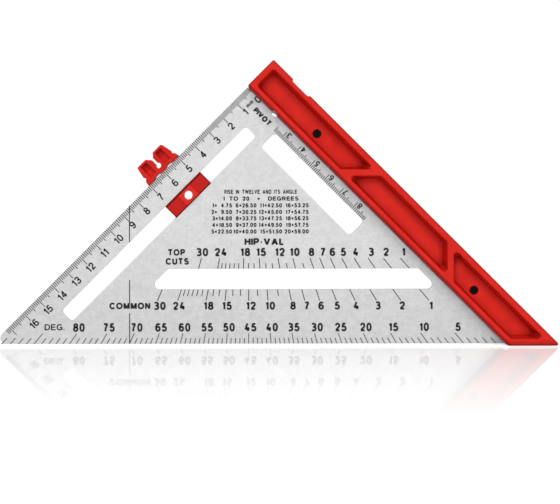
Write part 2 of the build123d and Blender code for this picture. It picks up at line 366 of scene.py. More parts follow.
def blendColours(tree, factor, first, second, kind="MIX"):
    node = addNode(tree, "ShaderNodeMix", data_type="RGBA", blend_type=kind)
    for socket, value in ((node.inputs[6], first), (node.inputs[7], second)):
        if isinstance(value, tuple):
            socket.default_value = (*value, 1)
        else:
            tree.links.new(value, socket)
    if isinstance(factor, float):
        node.inputs[0].default_value = factor
    else:
        tree.links.new(factor, node.inputs[0])
    return node.outputs[2]


def newMaterial(name):
    material = bpy.data.materials.new(name)
    material.use_nodes = True
    return material, material.node_tree, material.node_tree.nodes["Principled BSDF"]


def dress(name, material):
    # the CAD node's own material slots take the finished material
    data = nodes[name].data
    data.materials.clear()
    data.materials.append(material)


def addBump(tree, shader, height, strength, depth, normal=None):
    bump = addNode(tree, "ShaderNodeBump", Strength=strength, Distance=depth)
    tree.links.new(height, bump.inputs["Height"])
    if normal is not None:
        tree.links.new(normal, bump.inputs["Normal"])
    tree.links.new(bump.outputs["Normal"], shader.inputs["Normal"])


# blade: fine blasted satin steel
bladeValues = {
    "dark": (0.6, 0.602, 0.603),
    "light": (0.67, 0.672, 0.673),
    "edge": (0.76, 0.76, 0.76),
    "footShadeTone": 0.9,         # painted shade: the blade's foot is darker, this part of the tone higher up
    "footShadeReach": 0.055,
    "metallic": 0.35,
    "patchSize": 2.6,        # mm
    "grainSize": 0.55,
    "grainTone": (0.93, 1.07),
    "grainStrength": 0.5,
    "grainDepth": 0.00003,
    "edgeReach": 0.00025,
    "edgeGain": 5.0,
    "roughness": (0.32, 0.42),
    "scratches": 0.5,
}


def makeBladeSteel(values):
    material, tree, shader = newMaterial("bladeSteel")
    spots = useGroup(tree, mottle, **{"Patch Size": values["patchSize"], "Grain Size": values["grainSize"]})
    edges = useGroup(tree, edgeMask, Radius=values["edgeReach"], Strength=values["edgeGain"])
    marks = useGroup(tree, handling, Amount=values["scratches"])
    patches = blendColours(
        tree, span(tree, spots.outputs["Patches"], 0.0, 1.0, *patchRange), values["dark"], values["light"]
    )
    grain = span(tree, spots.outputs["Grain"], *values["grainTone"])
    grained = blendColours(tree, 1.0, patches, grain, "MULTIPLY")
    place = addNode(tree, "ShaderNodeTexCoord")
    parts = addNode(tree, "ShaderNodeSeparateXYZ")
    tree.links.new(place.outputs["Object"], parts.inputs[0])
    # painted shade: the steel darkens towards the blade's foot
    height = span(tree, parts.outputs["Z"], values["footShadeTone"], 1.0, 0.0, values["footShadeReach"])
    toned = blendColours(tree, 1.0, grained, height, "MULTIPLY")
    scratched = blendColours(tree, marks.outputs["Scratches"], toned, values["edge"])
    shader.inputs["Metallic"].default_value = values["metallic"]
    tree.links.new(
        blendColours(tree, edges.outputs["Edge"], scratched, values["edge"]), shader.inputs["Base Color"]
    )
    tree.links.new(
        span(tree, marks.outputs["Smudges"], *values["roughness"], *patchRange), shader.inputs["Roughness"]
    )
    addBump(
        tree, shader, spots.outputs["Grain"], values["grainStrength"], values["grainDepth"],
        edges.outputs["Normal"],
    )
    return material


dress("blade", makeBladeSteel(bladeValues))
print("blade finished")

# fence and sliding gauge: red moulded plastic with a fine satin skin
plasticValues = {
    "fence": {
        # the edge colour is painted shade on the rounded edges
        "deep": (0.65, 0.016, 0.009), "bright": (0.72, 0.022, 0.013), "edge": (0.24, 0.002, 0.002),
        "edgeReach": 0.0007, "edgeGain": 3.0, "edgeShadeStrength": 0.6,
        "cornerLightAndShade": (0.17, 0.0012, 0.001), "shadeReach": 0.0036, "shadeStrength": 1.3,
        "edgeOnShade": (0.17, 0.0012, 0.001), "edgeOnShadeAmount": 0.8,      # painted shade where the skin is seen edge on
        "patchSize": 9.0, "grainSize": 0.35, "roughness": (0.34, 0.46),
        "scratches": 0.12, "scratch": (0.84, 0.05, 0.04),
        "paintedBounce": (0.85, 0.8, 0.8),      # painted light: to bounced light the fence's inner side is nearly grey, so the steel beside the fence is lit nearly grey
        "rimShadeBands": (                        # painted shade along the fence's edges: direction, from, to and softness, in mm from the corner
            (legWay, -1.25, 3.0, 0.4), (legWay, -22.0, -17.15, 0.5), (fenceWay, -3.0, 0.9, 0.4),
        ),
        "rimShadeColour": (0.36, 0.006, 0.004),
    },
    "gauge": {
        # the edge colour is painted shade on the rounded edges
        "deep": (0.58, 0.013, 0.008), "bright": (0.66, 0.018, 0.012), "edge": (0.3, 0.004, 0.003),
        "edgeReach": 0.0005, "edgeGain": 4.0, "edgeShadeStrength": 0.5,
        # the gauge's corner colour is a brighter red: painted light deep in its pockets
        "cornerLightAndShade": (0.8, 0.001, 0.001), "shadeReach": 0.002, "shadeStrength": 1.0,
        # painted shade where the skin is seen edge on
        "edgeOnShade": (0.2, 0.002, 0.002), "edgeOnShadeAmount": 0.6,
        "patchSize": 5.0, "grainSize": 0.3, "roughness": (0.34, 0.46),
        "scratches": 0.08, "scratch": (0.78, 0.045, 0.035), "paintedBounce": (0.66, 0.018, 0.012),
        "rimShadeBands": (),
        "blockLightAndShade": {
            "station": 59.45, "length": 24.6, "near": 13.55, "far": 21.1,    # on the legs, in mm
            # painted shadow round the block's rim, painted light on its middle and painted shade at its ends
            "endWidth": 0.15, "sideWidth": 0.42, "soft": 0.3, "colour": (0.03, 0.001, 0.001),
            "middle": 8.6, "middleSoft": 0.4, "margin": 0.4, "marginSoft": 0.1, "strength": 0.85,
            "middleLitColour": (0.74, 0.026, 0.014), "endShadeColour": (0.5, 0.012, 0.008),
        },
    },
}
skinValues = {               # the same for fence and gauge
    "specular": 0.12,
    "grainStrength": 0.35,
    "grainDepth": 0.00004,
    "edgeFull": 0.5,         # part of the edge mask at which an edge has its full colour
    "turnedFrom": 0.6,       # 0 is seen square on, 1 is seen edge on
    "turnedFull": 0.95,
    "throwSide": (-0.6, 20.0, 0.2),     # from, to and softness along the leg, in mm
    "throwReach": 0.015,     # m
}


def bandAlong(tree, centre, direction, low, high, soft):
    # distances in mm
    shape = useGroup(
        tree, band, Centre=centre, Direction=direction, Low=low * mm, High=high * mm, Soft=soft * mm
    )
    return shape.outputs["Band"]


def outlineBlock(tree, base, values):
    # the gauge's block: its raised middle is the brightest, painted light, its ends have painted shade, and
    # its rim a dark painted shadow where it sits in the slot
    depth = values["far"] - values["near"]
    centre = onLegs(values["station"], (values["near"] + values["far"]) / 2)
    rim = None
    for direction, half, width in (
        (legWay, values["length"] / 2, values["endWidth"]), (fenceWay, depth / 2, values["sideWidth"]),
    ):
        inside = bandAlong(tree, centre, direction, width - half, half - width, values["soft"])
        rim = inside if rim is None else multiply(tree, rim, inside)
    block = bandAlong(
        tree, onLegs(0.0, values["near"]), fenceWay, -values["margin"], depth + values["margin"],
        values["marginSoft"],
    )
    middle = bandAlong(
        tree, onLegs(values["station"], 0.0), legWay, -values["middle"] / 2, values["middle"] / 2,
        values["middleSoft"],
    )
    ends = blendColours(tree, middle, values["endShadeColour"], values["middleLitColour"])
    toned = blendColours(tree, multiply(tree, block, values["strength"]), base, ends)
    around = addNode(tree, "ShaderNodeMath", operation="SUBTRACT")
    around.inputs[0].default_value = 1.0
    tree.links.new(rim, around.inputs[1])
    return blendColours(tree, multiply(tree, around.outputs[0], block), toned, values["colour"])


def makeThrown(tree, values):
    # 1 where the inner side takes its painted bounce colour, for the light that it throws on the steel close
    # by; 0 for what the camera sees
    inner = bandAlong(tree, onLegs(0.0, 0.0), legWay, *values["throwSide"])
    path = addNode(tree, "ShaderNodeLightPath")
    close = addNode(tree, "ShaderNodeMath", operation="LESS_THAN")
    close.inputs[1].default_value = values["throwReach"]
    tree.links.new(path.outputs["Ray Length"], close.inputs[0])
    bounced = addNode(tree, "ShaderNodeMath", operation="MAXIMUM")
    tree.links.new(multiply(tree, close.outputs[0], path.outputs["Is Glossy Ray"]), bounced.inputs[0])
    tree.links.new(path.outputs["Is Diffuse Ray"], bounced.inputs[1])
    return multiply(tree, bounced.outputs[0], inner)


def makePlastic(name, values, skin):
    material, tree, shader = newMaterial(name)
    spots = useGroup(tree, mottle, **{"Patch Size": values["patchSize"], "Grain Size": values["grainSize"]})
    edges = useGroup(tree, edgeMask, Radius=values["edgeReach"], Strength=values["edgeGain"])
    corners = useGroup(tree, cornerMask, Reach=values["shadeReach"], Strength=values["shadeStrength"])
    marks = useGroup(tree, handling, Amount=values["scratches"])
    body = blendColours(
        tree, span(tree, spots.outputs["Patches"], 0.0, 1.0, *patchRange), values["deep"], values["bright"]
    )
    scratched = blendColours(tree, marks.outputs["Scratches"], body, values["scratch"])
    shader.inputs["Specular IOR Level"].default_value = skin["specular"]
    # painted shade: rounded edges darken towards the edge colour
    edgeShadeAmount = span(tree, edges.outputs["Edge"], 0.0, values["edgeShadeStrength"], 0.0, skin["edgeFull"])
    rounded = blendColours(tree, edgeShadeAmount, scratched, values["edge"])
    # painted shade: dark bands along the fence's edges
    for direction, low, high, soft in values["rimShadeBands"]:
        rim = bandAlong(tree, onLegs(0.0, 0.0), direction, low, high, soft)
        rounded = blendColours(tree, rim, rounded, values["rimShadeColour"])
    if "blockLightAndShade" in values:
        rounded = outlineBlock(tree, rounded, values["blockLightAndShade"])
    shaded = blendColours(tree, corners.outputs["Corner"], rounded, values["cornerLightAndShade"])
    # painted shade where the skin is seen edge on
    facing = addNode(tree, "ShaderNodeLayerWeight", Blend=0.5)
    edgeOnShadeAmount = span(
        tree, facing.outputs["Facing"], 0.0, values["edgeOnShadeAmount"], skin["turnedFrom"], skin["turnedFull"]
    )
    edgeOnShade = blendColours(tree, edgeOnShadeAmount, shaded, values["edgeOnShade"])
    paintedBounce = blendColours(tree, makeThrown(tree, skin), edgeOnShade, values["paintedBounce"])
    tree.links.new(paintedBounce, shader.inputs["Base Color"])
    tree.links.new(
        span(tree, marks.outputs["Smudges"], *values["roughness"], *patchRange), shader.inputs["Roughness"]
    )
    addBump(
        tree, shader, spots.outputs["Grain"], skin["grainStrength"], skin["grainDepth"],
        edges.outputs["Normal"],
    )
    return material


fencePlastic = makePlastic("fencePlastic", plasticValues["fence"], skinValues)
gaugePlastic = makePlastic("gaugePlastic", plasticValues["gauge"], skinValues)
dress("fence_front", fencePlastic)
dress("fence_rear", fencePlastic)
dress("slider", gaugePlastic)
print("fence and sliding gauge finished")

# screws: black oxide
screwValues = {
    "dark": (0.004, 0.0035, 0.0035),
    "rubbed": (0.02, 0.018, 0.018),
    "roughness": 0.6,
    "specular": 0.1,
    "patchSize": 0.8,        # mm
    "grainSize": 0.15,
    "grainStrength": 0.4,
    "grainDepth": 0.00002,
    "edgeReach": 0.00012,
    "edgeGain": 5.0,
}


def makeScrewSteel(values):
    material, tree, shader = newMaterial("screwSteel")
    spots = useGroup(tree, mottle, **{"Patch Size": values["patchSize"], "Grain Size": values["grainSize"]})
    edges = useGroup(tree, edgeMask, Radius=values["edgeReach"], Strength=values["edgeGain"])
    shader.inputs["Roughness"].default_value = values["roughness"]
    shader.inputs["Specular IOR Level"].default_value = values["specular"]
    worn = blendColours(tree, edges.outputs["Edge"], values["dark"], values["rubbed"])
    tree.links.new(worn, shader.inputs["Base Color"])
    addBump(
        tree, shader, spots.outputs["Grain"], values["grainStrength"], values["grainDepth"],
        edges.outputs["Normal"],
    )
    return material


dress("fence_screws", makeScrewSteel(screwValues))
print("screws finished")

# marks: thin raised ink on both faces of the blade
inkValues = {
    "inside": 0.99,        # from the blade's middle plane, in mm
    "outside": 1.02,
    "edgeGap": 0.14,       # marks stop this short of the blade's edges
    "black": (0.012, 0.012, 0.013),
    "grey": (0.05, 0.05, 0.052),
    "thinGain": 2.2,       # thin patches are brighter by this factor
    "thinLift": 0.01,      # and this much paler on top
    "roughness": (0.5, 0.7),
    "specular": 0.25,
    "patchSize": 0.9,      # mm
    "grainSize": 0.12,
    "grainStrength": 0.3,
    "grainDepth": 0.00001,
}


def makeInk(name, colour, values):
    material, tree, shader = newMaterial(name)
    spots = useGroup(tree, mottle, **{"Patch Size": values["patchSize"], "Grain Size": values["grainSize"]})
    thin = tuple(value * values["thinGain"] + values["thinLift"] for value in colour)
    tree.links.new(
        blendColours(tree, span(tree, spots.outputs["Patches"], 0.0, 1.0), colour, thin),
        shader.inputs["Base Color"],
    )
    tree.links.new(span(tree, spots.outputs["Grain"], *values["roughness"]), shader.inputs["Roughness"])
    shader.inputs["Specular IOR Level"].default_value = values["specular"]
    addBump(tree, shader, spots.outputs["Grain"], values["grainStrength"], values["grainDepth"])
    return material


blackInk = makeInk("blackInk", inkValues["black"], inkValues)
greyInk = makeInk("greyInk", inkValues["grey"], inkValues)


def newSheet(front):
    # marks of one face, gathered before they become a mesh
    return {"points": [], "faces": [], "front": front, "out": Vector((0, -1 if front else 1, 0))}


def addBar(sheet, start, end, width):
    # a straight mark with square ends, as a closed bar
    way = (end - start).normalized()
    across = way.cross(sheet["out"]) * width * mm / 2
    first = len(sheet["points"])
    for depth in (inkValues["inside"], inkValues["outside"]):
        lift = sheet["out"] * depth * mm
        for point in (start + across, end + across, end - across, start - across):
            sheet["points"].append(point + lift)
    for face in ((3, 2, 1, 0), (4, 5, 6, 7), (0, 1, 5, 4), (1, 2, 6, 5), (2, 3, 7, 6), (3, 0, 4, 7)):
        sheet["faces"].append([first + i for i in face])


# Plain sans-serif letters as strokes, 1 high. A stroke is a row of points, or a bow
# (middle right, middle up, half width, half height, first angle, last angle).
lettering = {
    "0": (0.66, [(0.33, 0.5, 0.26, 0.435, 0, 360)]),
    "1": (0.42, [[(0.35, 0), (0.35, 1)], [(0.35, 0.9), (0.22, 0.8), (0.05, 0.73)]]),
    "2": (0.66, [
        [(0.075, 0.69), (0.33, 0.69, 0.25, 0.245, 172, -28), (0.1, 0.1)], [(0.04, 0.065), (0.62, 0.065)],
    ]),
    "3": (0.66, [
        [(0.315, 0.715, 0.235, 0.22, 165, -88), (0.24, 0.52)], [(0.32, 0.295, 0.265, 0.23, 92, -168)],
    ]),
    "4": (0.7, [[(0.46, 0), (0.46, 1)], [(0.45, 0.95), (0.07, 0.29)], [(0.03, 0.285), (0.68, 0.285)]]),
    "5": (0.66, [
        [(0.15, 0.935), (0.58, 0.935)], [(0.2, 0.97), (0.125, 0.44)], [(0.32, 0.325, 0.265, 0.26, 148, -165)],
    ]),
    "6": (0.66, [
        [(0.33, 0.315, 0.26, 0.25, 0, 360)], [(0.35, 0.5, 0.28, 0.435, 40, 180), (0.07, 0.32)],
    ]),
    "7": (0.64, [[(0.03, 0.935), (0.62, 0.935)], [(0.56, 0.9), (0.41, 0.66), (0.29, 0.36), (0.235, 0)]]),
    "8": (0.66, [[(0.33, 0.735, 0.22, 0.2, 0, 360)], [(0.33, 0.29, 0.265, 0.225, 0, 360)]]),
    "9": (0.66, [
        [(0.33, 0.685, 0.26, 0.25, 0, 360)], [(0.31, 0.5, 0.28, 0.435, 220, 360), (0.59, 0.68)],
    ]),
    "A": (0.9, [[(0.07, 0), (0.45, 0.97)], [(0.83, 0), (0.45, 0.97)], [(0.2, 0.33), (0.7, 0.33)]]),
    "C": (0.9, [[(0.48, 0.5, 0.41, 0.435, 38, 322)]]),
    "D": (0.86, [
        [(0.07, 0), (0.07, 1)],
        [(0.07, 0.935), (0.36, 0.935), (0.36, 0.5, 0.43, 0.435, 85, -85), (0.07, 0.065)],
    ]),
    "E": (0.76, [[(0.07, 0), (0.07, 1)], [(0.07, 0.935), (0.74, 0.935)], [(0.07, 0.52), (0.69, 0.52)],
                 [(0.07, 0.065), (0.76, 0.065)]]),
    "G": (0.94, [[(0.48, 0.5, 0.41, 0.435, 40, 330), (0.87, 0.2), (0.87, 0.5)], [(0.5, 0.45), (0.93, 0.45)]]),
    "H": (0.8, [[(0.07, 0), (0.07, 1)], [(0.73, 0), (0.73, 1)], [(0.07, 0.53), (0.73, 0.53)]]),
    "I": (0.14, [[(0.07, 0), (0.07, 1)]]),
    "L": (0.64, [[(0.07, 0), (0.07, 1)], [(0.07, 0.065), (0.64, 0.065)]]),
    "M": (0.94, [[(0.07, 0), (0.07, 1)], [(0.87, 0), (0.87, 1)], [(0.1, 0.98), (0.47, 0.04)],
                 [(0.84, 0.98), (0.47, 0.04)]]),
    "N": (0.8, [[(0.07, 0), (0.07, 1)], [(0.73, 0), (0.73, 1)], [(0.09, 0.95), (0.71, 0.05)]]),
    "O": (0.98, [[(0.49, 0.5, 0.42, 0.435, 0, 360)]]),
    "P": (0.76, [
        [(0.07, 0), (0.07, 1)],
        [(0.07, 0.935), (0.42, 0.935), (0.42, 0.69, 0.27, 0.245, 88, -88), (0.07, 0.445)],
    ]),
    "R": (0.84, [
        [(0.07, 0), (0.07, 1)],
        [(0.07, 0.935), (0.44, 0.935), (0.44, 0.7, 0.27, 0.235, 88, -88), (0.07, 0.465)],
        [(0.46, 0.45), (0.77, 0)],
    ]),
    "S": (0.76, [
        [(0.38, 0.715, 0.28, 0.22, 25, 268), (0.38, 0.285, 0.31, 0.225, 88, -160)],
    ]),
    "T": (0.8, [[(0.4, 0), (0.4, 1)], [(0, 0.935), (0.8, 0.935)]]),
    "U": (0.8, [[(0.07, 1), (0.07, 0.4), (0.4, 0.36, 0.33, 0.295, 185, 355), (0.73, 0.4), (0.73, 1)]]),
    "V": (0.88, [[(0.06, 1), (0.44, 0.03)], [(0.82, 1), (0.44, 0.03)]]),
    "W": (1.24, [[(0.06, 1), (0.33, 0.03)], [(0.62, 0.97), (0.33, 0.03)], [(0.62, 0.97), (0.91, 0.03)],
                 [(1.18, 1), (0.91, 0.03)]]),
    "m": (0.96, [[(0.07, 0), (0.07, 0.72)], [(0.27, 0.46, 0.2, 0.21, 175, 5), (0.47, 0)],
                 [(0.67, 0.46, 0.2, 0.21, 175, 5), (0.87, 0)]]),
    "-": (0.36, [[(0, 0.42), (0.36, 0.42)]]),
    "=": (0.56, [[(0, 0.34), (0.56, 0.34)], [(0, 0.6), (0.56, 0.6)]]),
    ".": (0.16, [[(0.08, 0), (0.08, 0.15)]]),
    " ": (0.66, []),
}
draftedLettering = {       # as on a drawing: a flat-topped 3 and an open 4
    "3": (0.66, [
        [(0.04, 0.935), (0.3, 0.935), (0.3, 0.735, 0.25, 0.2, 88, -88), (0.2, 0.53)],
        [(0.32, 0.53), (0.32, 0.2975, 0.27, 0.2325, 88, -88), (0.04, 0.065)],
    ]),
    "4": (0.7, [[(0.38, 1), (0.09, 0.27)], [(0.03, 0.27), (0.68, 0.27)], [(0.47, 0.52), (0.47, 0)]]),
}
letterValues = {             # lengths in letter heights
    "gap": 0.1,
    "draftedGap": 0.09,
    "drawnFor": 0.13,        # stroke width at which letters have the shapes above
    "bowStep": 20.0,         # degrees
    "squareness": 2.25,      # 2 gives an ellipse
    "mitreLimit": 0.5,
}
letterCache = {}


def strokeLine(stroke):
    # points along a stroke, with its bows divided into steps, and whether it closes on itself
    if not isinstance(stroke, list):
        stroke = [stroke]
    line = []
    for part in stroke:
        if len(part) == 2:
            line.append(part)
            continue
        right, up, halfWidth, halfHeight, first, last = part
        steps = max(3, round(abs(last - first) / letterValues["bowStep"]))
        for i in range(steps + 1):
            angle = math.radians(first + (last - first) * i / steps)
            cosine, sine = math.cos(angle), math.sin(angle)
            power = 2 / letterValues["squareness"]
            line.append((
                right + halfWidth * math.copysign(abs(cosine) ** power, cosine),
                up + halfHeight * math.copysign(abs(sine) ** power, sine),
            ))
    closed = math.dist(line[0], line[-1]) < 1e-6
    if closed:
        line.pop()
    return [Vector(point) for point in line], closed


def strokeSides(line, closed, half):
    # points on both sides of a stroke, with mitred bends
    sides = []
    for i, point in enumerate(line):
        before = line[i - 1] if closed or i > 0 else None
        after = line[(i + 1) % len(line)] if closed or i + 1 < len(line) else None
        ways = [
            (end - start).normalized() for start, end in ((before, point), (point, after))
            if start is not None and end is not None
        ]
        way = sum(ways, Vector((0, 0))).normalized()
        across = Vector((-way.y, way.x))
        reach = half / max(letterValues["mitreLimit"], abs(across.dot(Vector((-ways[0].y, ways[0].x)))))
        sides.append((point + across * reach, point - across * reach))
    return sides


def letterShape(text, stroke, drafted):
    # closed strokes of a word as flat rings of points, centred sideways and upwards
    key = (text, stroke, drafted)
    if key in letterCache:
        return letterCache[key]
    ribbons = []
    reach = 0
    thinnest = letterValues["drawnFor"]
    gap = letterValues["draftedGap" if drafted else "gap"]
    for letter in text:
        width, strokes = draftedLettering.get(letter, lettering[letter]) if drafted else lettering[letter]
        # a bolder stroke keeps the letter's outer size
        narrow = (width - stroke) / (width - thinnest) if width > 2 * thinnest else 1.0
        squash = (1 - stroke) / (1 - thinnest)
        for part in strokes:
            line, closed = strokeLine(part)
            line = [
                Vector(((x - width / 2) * narrow + width / 2 + reach, (y - 0.5) * squash + 0.5))
                for x, y in line
            ]
            ribbons.append((strokeSides(line, closed, stroke / 2), closed))
        reach += width + gap
    width = reach - gap
    middle = Vector((width / 2, 0.5))
    ribbons = [
        ([(left - middle, right - middle) for left, right in sides], closed) for sides, closed in ribbons
    ]
    letterCache[key] = (ribbons, width)
    return letterCache[key]


def addRibbon(sheet, sides, closed):
    # solid along a stroke: its sides are pairs of points in the blade's plane
    first = len(sheet["points"])
    low = sheet["out"] * inkValues["inside"] * mm
    high = sheet["out"] * inkValues["outside"] * mm
    for left, right in sides:
        sheet["points"] += [left + low, right + low, right + high, left + high]
    count = len(sides)
    for i in range(count if closed else count - 1):
        here, there = first + 4 * i, first + 4 * ((i + 1) % count)
        for a, b in ((0, 1), (1, 2), (2, 3), (3, 0)):
            sheet["faces"].append([here + a, there + a, there + b, here + b])
    if not closed:
        last = first + 4 * (count - 1)
        sheet["faces"].append([first, first + 1, first + 2, first + 3])
        sheet["faces"].append([last + 3, last + 2, last + 1, last])


def addText(sheet, text, centre, reading, height, stroke, length=None, drafted=False):
    # a word round its centre; on the back it reads the other way, with the same side up
    ribbons, width = letterShape(text, stroke, drafted)
    stretch = 1.0 if length is None else length / (width * height)
    upward = Vector((0, -1, 0)).cross(reading)
    if not sheet["front"]:
        reading = -reading

    def place(point):
        return centre + (reading * point.x * stretch + upward * point.y) * height * mm

    for sides, closed in ribbons:
        addRibbon(sheet, [(place(left), place(right)) for left, right in sides], closed)


def addDigits(sheet, number, centre, values):
    # a level number of the angle scales
    width = letterShape(str(number), values["digitStroke"], True)[1] * values["digitHeight"]
    addText(
        sheet, str(number), centre, Vector((1, 0, 0)), values["digitHeight"], stroke=values["digitStroke"],
        length=width * values["digitWidth"], drafted=True,
    )


def layMarks(name, sheet, material):
    mesh = bpy.data.meshes.new(name)
    mesh.from_pydata([tuple(point) for point in sheet["points"]], [], sheet["faces"])
    mesh.update()
    mesh.materials.append(material)
    piece = bpy.data.objects.new(name, mesh)
    bpy.context.scene.collection.objects.link(piece)
    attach(piece, "square")
    return piece


legScale = {
    "last": 172,            # mm
    "numbers": range(17),
    "zero": -0.2,           # along the leg
    "tick": {1: 2.85, 5: 4.1, 10: 5.7},
    "width": 0.42,
    "edgeGap": 0.25,
    "digitDepth": 8.05,     # centre of the numbers behind the scale edge
    "digitHeight": 3.9,
    "digitStroke": 0.188,
    "firstDigit": 1.0,      # the nought stands clear of the fence
    "words": (              # along the leg, along the fence, reading direction, height, length, stroke
        ("mm", 5.3, 6.65, -legWay, 2.1, 4.2, 0.24), ("PIVOT", 5.4, 15.8, fenceWay, 3.0, 11.2, 0.31),
    ),
    "squareLine": -59.4,    # upright line, to the right of the corner
    "squareLineWidth": 0.5,
    "squareLineEnds": (32.1, 20.3, 15.5),   # above the base: a number interrupts its lower part
}


def tickLength(tick, lengths):
    return lengths[10 if tick % 10 == 0 else 5 if tick % 5 == 0 else 1]


def drawLegScale(sheet, values):
    gap = inkValues["edgeGap"]
    for tick in range(1, values["last"] + 1):
        place = tick + values["zero"]
        end = onLegs(place, tickLength(tick, values["tick"]))
        addBar(sheet, onLegs(place, values["edgeGap"]), end, values["width"])
    for number in values["numbers"]:
        place = number * 10 + values["zero"] if number else values["firstDigit"]
        addText(
            sheet, str(number), onLegs(place, values["digitDepth"]), -legWay, values["digitHeight"],
            stroke=values["digitStroke"],
        )
    for word, along, across, way, height, length, stroke in values["words"]:
        addText(sheet, word, onLegs(along, across), way, height, stroke=stroke, length=length)
    line = values["squareLine"]
    edge = cornerHeight + line
    slotNear = edge - layout["legSlotNear"] * math.sqrt(2)
    upper, lower, last = values["squareLineEnds"]
    for top, foot in ((edge - gap, slotNear + gap), (upper, lower), (last, gap)):
        addBar(sheet, onBase(line, top), onBase(line, foot), values["squareLineWidth"])


ruleScale = {
    "start": 25,            # mm
    "end": 88,
    "numbers": range(3, 9),
    "zero": 0.06,           # along the fence
    "tick": {1: 2.15, 5: 3.1, 10: 4.4},
    "width": 0.42,
    "digitPlace": 2.8,      # centre of the numbers, from the scale's zero
    "digitHeight": 3.1,
    "digitStroke": 0.205,
    "digitStep": 1.9,       # numbers stand this far past their tick
}


def drawRuleScale(sheet, values):
    slotEdge = layout["ruleSlotNear"] - inkValues["edgeGap"]
    for tick in range(values["start"], values["end"] + 1):
        place = tick + values["zero"]
        end = onLegs(layout["ruleSlotNear"] - tickLength(tick, values["tick"]), place)
        addBar(sheet, onLegs(slotEdge, place), end, values["width"])
    for number in values["numbers"]:
        place = number * 10 + values["zero"] + values["digitStep"]
        addText(
            sheet, str(number), onLegs(values["digitPlace"], place), -fenceWay, values["digitHeight"],
            stroke=values["digitStroke"],
        )


degreeScale = {
    "last": 89,
    "numbers": range(5, 85, 5),
    "centreDrop": 0.41,      # the rays leave a point this far below the corner
    "centreRight": 0.28,
    "short": 3.0,
    "long": 5.3,
    "width": 0.46,
    "numberHeight": 8.33,
    "digitHeight": 4.4,
    "digitStroke": 0.24,
    "digitWidth": 0.96,
    "digitShift": {          # numbers to the right of their marks
        5: 1.6, 10: 1.7, 15: 1.45, 20: 1.3, 25: 1.3, 30: 1.25, 65: 0.9, 70: 1.3, 75: 1.05, 80: 1.1,
    },
    "otherShift": 0.85,
    "word": (-97.1, 8.5, 3.15, 10.0),   # right, height, letter height, length
    "wordStroke": 0.2,
}


def rayPoint(values, angle, height):
    # where the ray at this angle from the fence passes the given height
    drop = cornerHeight - values["centreDrop"] - height
    return onBase(values["centreRight"] + drop * math.tan(math.radians(45 - angle)), height)


def drawDegreeTicks(sheet, values):
    for angle in range(1, values["last"] + 1):
        top = values["long"] if angle % 5 == 0 else values["short"]
        foot = rayPoint(values, angle, inkValues["edgeGap"])
        addBar(sheet, foot, rayPoint(values, angle, top), values["width"])


def drawDegreeNumbers(sheet, values):
    for angle in values["numbers"]:
        centre = rayPoint(values, angle, values["long"])
        centre.x += values["digitShift"].get(angle, values["otherShift"]) * mm
        centre.z = values["numberHeight"] * mm
        addDigits(sheet, angle, centre, values)
    right, height, letterHeight, length = values["word"]
    addText(
        sheet, "DEG.", onBase(right, height), Vector((1, 0, 0)), letterHeight,
        stroke=values["wordStroke"], length=length,
    )


rafterScales = {
    "last": 30,
    "markedTo": 24,          # beyond this only the labelled ones are marked
    "labelled": (30, 24, 18, 15, 12, 10, 8, 7, 6, 5, 4, 3, 2, 1),
    "width": 0.45,
    "wordStroke": 0.27,
    "common": {
        "run": 12, "start": layout["longSlotFoot"], "direction": -1, "long": 21.66, "short": 24.0,
        "numberHeight": 19.1, "digitHeight": 4.15, "digitStroke": 0.24, "digitWidth": 1.04,
        # numbers to the right of their marks
        "shifts": {
            30: 1.15, 24: 0.7, 18: 1.2, 15: 0.95, 12: 1.1, 10: 1.05, 8: 0.9, 7: 1.1, 6: 0.75,
            5: 0.4, 4: 0.55, 3: 0.75, 2: 0.7, 1: 1.0,
        },
        "words": (("COMMON", -59.3, 19.1, 3.4, 20.6),),
    },
    "hip": {
        "run": 17, "start": layout["longSlotTop"], "direction": 1, "long": 42.9, "short": 40.45,
        "numberHeight": 46.0, "digitHeight": 4.25, "digitStroke": 0.24, "digitWidth": 1.02,
        "shifts": {
            30: 0.4, 24: 0.7, 18: 0.75, 15: 0.9, 12: 0.9, 10: 0.9, 8: 0.75, 7: 1.65, 6: 1.15,
            5: 0.85, 4: 0.75, 3: 1.6, 2: 1.4, 1: 1.6,
        },
        "words": (
            ("HIP-VAL", 8.1, 51.2, 3.7, 19.8), ("TOP", -35.9, 45.9, 3.4, 8.7),
            ("CUTS", -35.5, 41.4, 3.4, 11.7),
        ),
    },
}


def drawRafterScale(sheet, scale, values):
    gap = inkValues["edgeGap"] * scale["direction"]
    for number in range(1, values["last"] + 1):
        if number > values["markedTo"] and number not in values["labelled"]:
            continue
        angle = math.degrees(math.atan(number / scale["run"]))
        top = scale["long"] if number in values["labelled"] else scale["short"]
        addBar(
            sheet, rayPoint(degreeScale, angle, scale["start"] + gap), rayPoint(degreeScale, angle, top),
            values["width"],
        )
        if number in values["labelled"]:
            centre = rayPoint(degreeScale, angle, scale["long"])
            centre.x += scale["shifts"][number] * mm
            centre.z = scale["numberHeight"] * mm
            addDigits(sheet, number, centre, scale)
    for word, right, height, letterHeight, length in scale["words"]:
        addText(
            sheet, word, onBase(right, height), Vector((1, 0, 0)), letterHeight,
            stroke=values["wordStroke"], length=length,
        )


